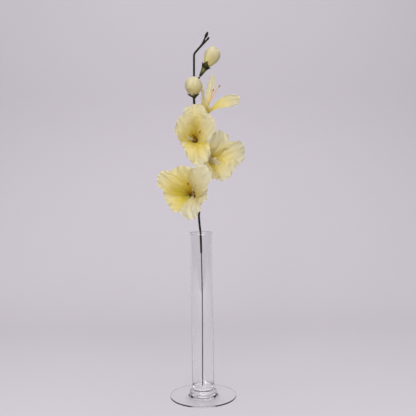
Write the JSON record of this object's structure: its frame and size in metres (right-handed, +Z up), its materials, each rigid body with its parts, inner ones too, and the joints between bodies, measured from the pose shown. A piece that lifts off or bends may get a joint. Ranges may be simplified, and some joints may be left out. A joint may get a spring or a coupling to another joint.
{
  "type": "artificial gladiolus spray in a glass vase",
  "caption": "Artificial gladiolus stem with pale yellow open blooms and closed buds, leaning in a slim clear glass tube vase with a round disc foot.",
  "frame": {"origin": "middle of the underside of the vase's foot, on the table", "axes": "+Z up along the vase's axis; the open side of the blooms looks along -Y, towards the viewer"},
  "size_m": [0.1577, 0.1571, 0.6578],
  "materials": {
    "glass": "clear, polished",
    "wire": "thin dark coating",
    "stem": "matt moulded sheath",
    "calyx": "matt moulded",
    "petals": "thin stiffened cloth, yellow at the throat",
    "stamens": "matt"
  },
  "bodies": {
    "root": {"vase": "glass", "wire": "wire", "stem": "stem", "calyx_1": "calyx", "calyx_2": "calyx", "calyx_3": "calyx", "calyx_4": "calyx", "calyx_5": "calyx", "calyx_6": "calyx", "petals_1": "petals", "petals_2": "petals", "petals_3": "petals", "petals_4": "petals", "petals_5": "petals", "petals_6": "petals", "stamens_1": "stamens", "stamens_2": "stamens", "stamens_3": "stamens", "stamens_4": "stamens"}
  },
  "joints": []
}
